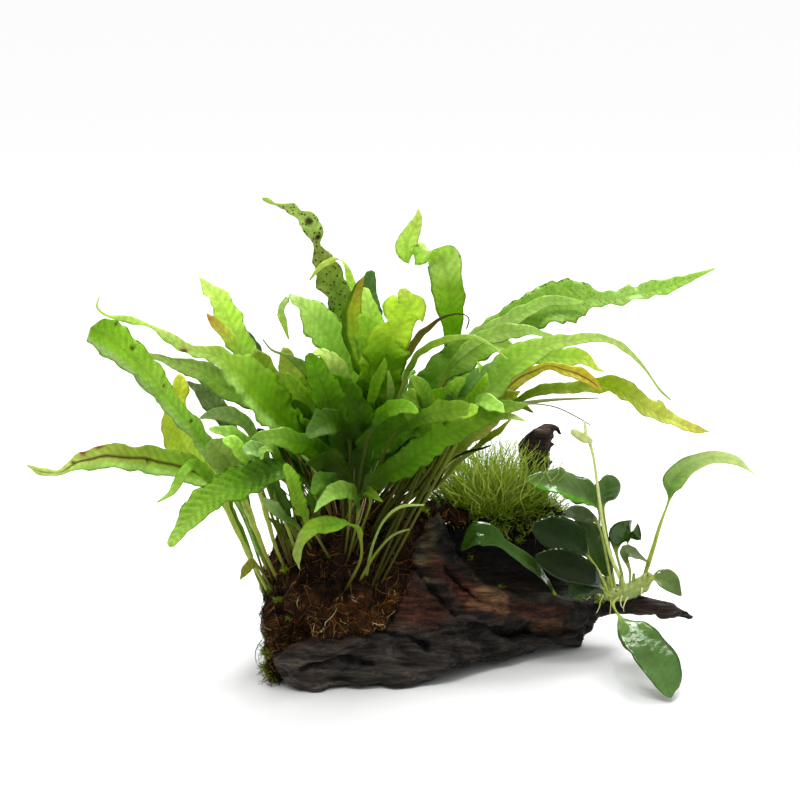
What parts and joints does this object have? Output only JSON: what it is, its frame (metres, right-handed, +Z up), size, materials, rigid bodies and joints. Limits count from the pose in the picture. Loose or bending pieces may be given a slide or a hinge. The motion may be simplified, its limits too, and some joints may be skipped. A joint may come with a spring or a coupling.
{
  "type": "java fern on driftwood",
  "caption": "Aquarium java fern with arching leaves, some yellowing, grown with a dwarf anubias and a tuft of moss on a piece of driftwood that stands by itself.",
  "frame": {"origin": "middle of the plant's outline, on the surface that the driftwood stands on", "axes": "+X along the driftwood, to the right seen from the front; -Y towards the front; +Z up"},
  "size_m": [0.3948, 0.2155, 0.2557],
  "materials": {
    "bog_wood": "damp dark bog wood, fibrous and matt",
    "root_felt": "matted brown root hairs",
    "moss": "soft yellow-green moss threads",
    "fern_leaf": "thin satin leaf with ribs and dark dots",
    "anubias_leaf": "thick glossy leaf with fine veins",
    "anubias_stem": "smooth pale stem, bud and spike"
  },
  "bodies": {
    "root": {"anubias_flower": "anubias_stem", "anubias_leaf_beside_stalk": "anubias_leaf", "anubias_leaf_drooping": "anubias_leaf", "anubias_leaf_far_left": "anubias_leaf", "anubias_leaf_high_curled": "anubias_leaf", "anubias_leaf_large_dark": "anubias_leaf", "anubias_leaf_low_dark": "anubias_leaf", "anubias_leaf_right_curled": "anubias_leaf", "anubias_leaf_right_oval": "anubias_leaf", "anubias_leaf_upper_left": "anubias_leaf", "anubias_leaf_upper_right": "anubias_leaf", "anubias_rhizome": "anubias_stem", "driftwood_spur": "bog_wood", "driftwood_stub": "bog_wood", "driftwood_trunk": "bog_wood", "fern_leaf_back_left": "fern_leaf", "fern_leaf_back_low": "fern_leaf", "fern_leaf_back_middle": "fern_leaf", "fern_leaf_back_right": "fern_leaf", "fern_leaf_back_upright": "fern_leaf", "fern_leaf_broad_dark": "fern_leaf", "fern_leaf_diagonal_glossy": "fern_leaf", "fern_leaf_folded_olive": "fern_leaf", "fern_leaf_front_arch": "fern_leaf", "fern_leaf_front_level": "fern_leaf", "fern_leaf_front_middle": "fern_leaf", "fern_leaf_front_oval": "fern_leaf", "fern_leaf_front_ribbed": "fern_leaf", "fern_leaf_jagged_yellow": "fern_leaf", "fern_leaf_left_broad": "fern_leaf", "fern_leaf_left_crinkled": "fern_leaf", "fern_leaf_left_dark": "fern_leaf", "fern_leaf_left_long": "fern_leaf", "fern_leaf_left_low": "fern_leaf", "fern_leaf_left_yellow": "fern_leaf", "fern_leaf_long_arch": "fern_leaf", "fern_leaf_middle_bright": "fern_leaf", "fern_leaf_middle_dark": "fern_leaf", "fern_leaf_middle_left": "fern_leaf", "fern_leaf_middle_low": "fern_leaf", "fern_leaf_pale_behind": "fern_leaf", "fern_leaf_pale_folded": "fern_leaf", "fern_leaf_ribbed_middle": "fern_leaf", "fern_leaf_right_green_yellow": "fern_leaf", "fern_leaf_right_grey": "fern_leaf", "fern_leaf_right_middle": "fern_leaf", "fern_leaf_right_orange": "fern_leaf", "fern_leaf_right_pale": "fern_leaf", "fern_leaf_right_stippled": "fern_leaf", "fern_leaf_right_yellow_tip": "fern_leaf", "fern_leaf_spotted_tall": "fern_leaf", "fern_leaf_tall_folded": "fern_leaf", "fern_leaf_thin_arch": "fern_leaf", "fern_leaf_thin_hook": "fern_leaf", "fern_leaf_upright_bright": "fern_leaf", "fern_leaf_wavy_bright": "fern_leaf", "fern_leaf_yellowing_low": "fern_leaf", "fern_leaf_yellowing_tall": "fern_leaf", "fern_root_mat": "root_felt", "moss_tuft": "moss"}
  },
  "joints": []
}
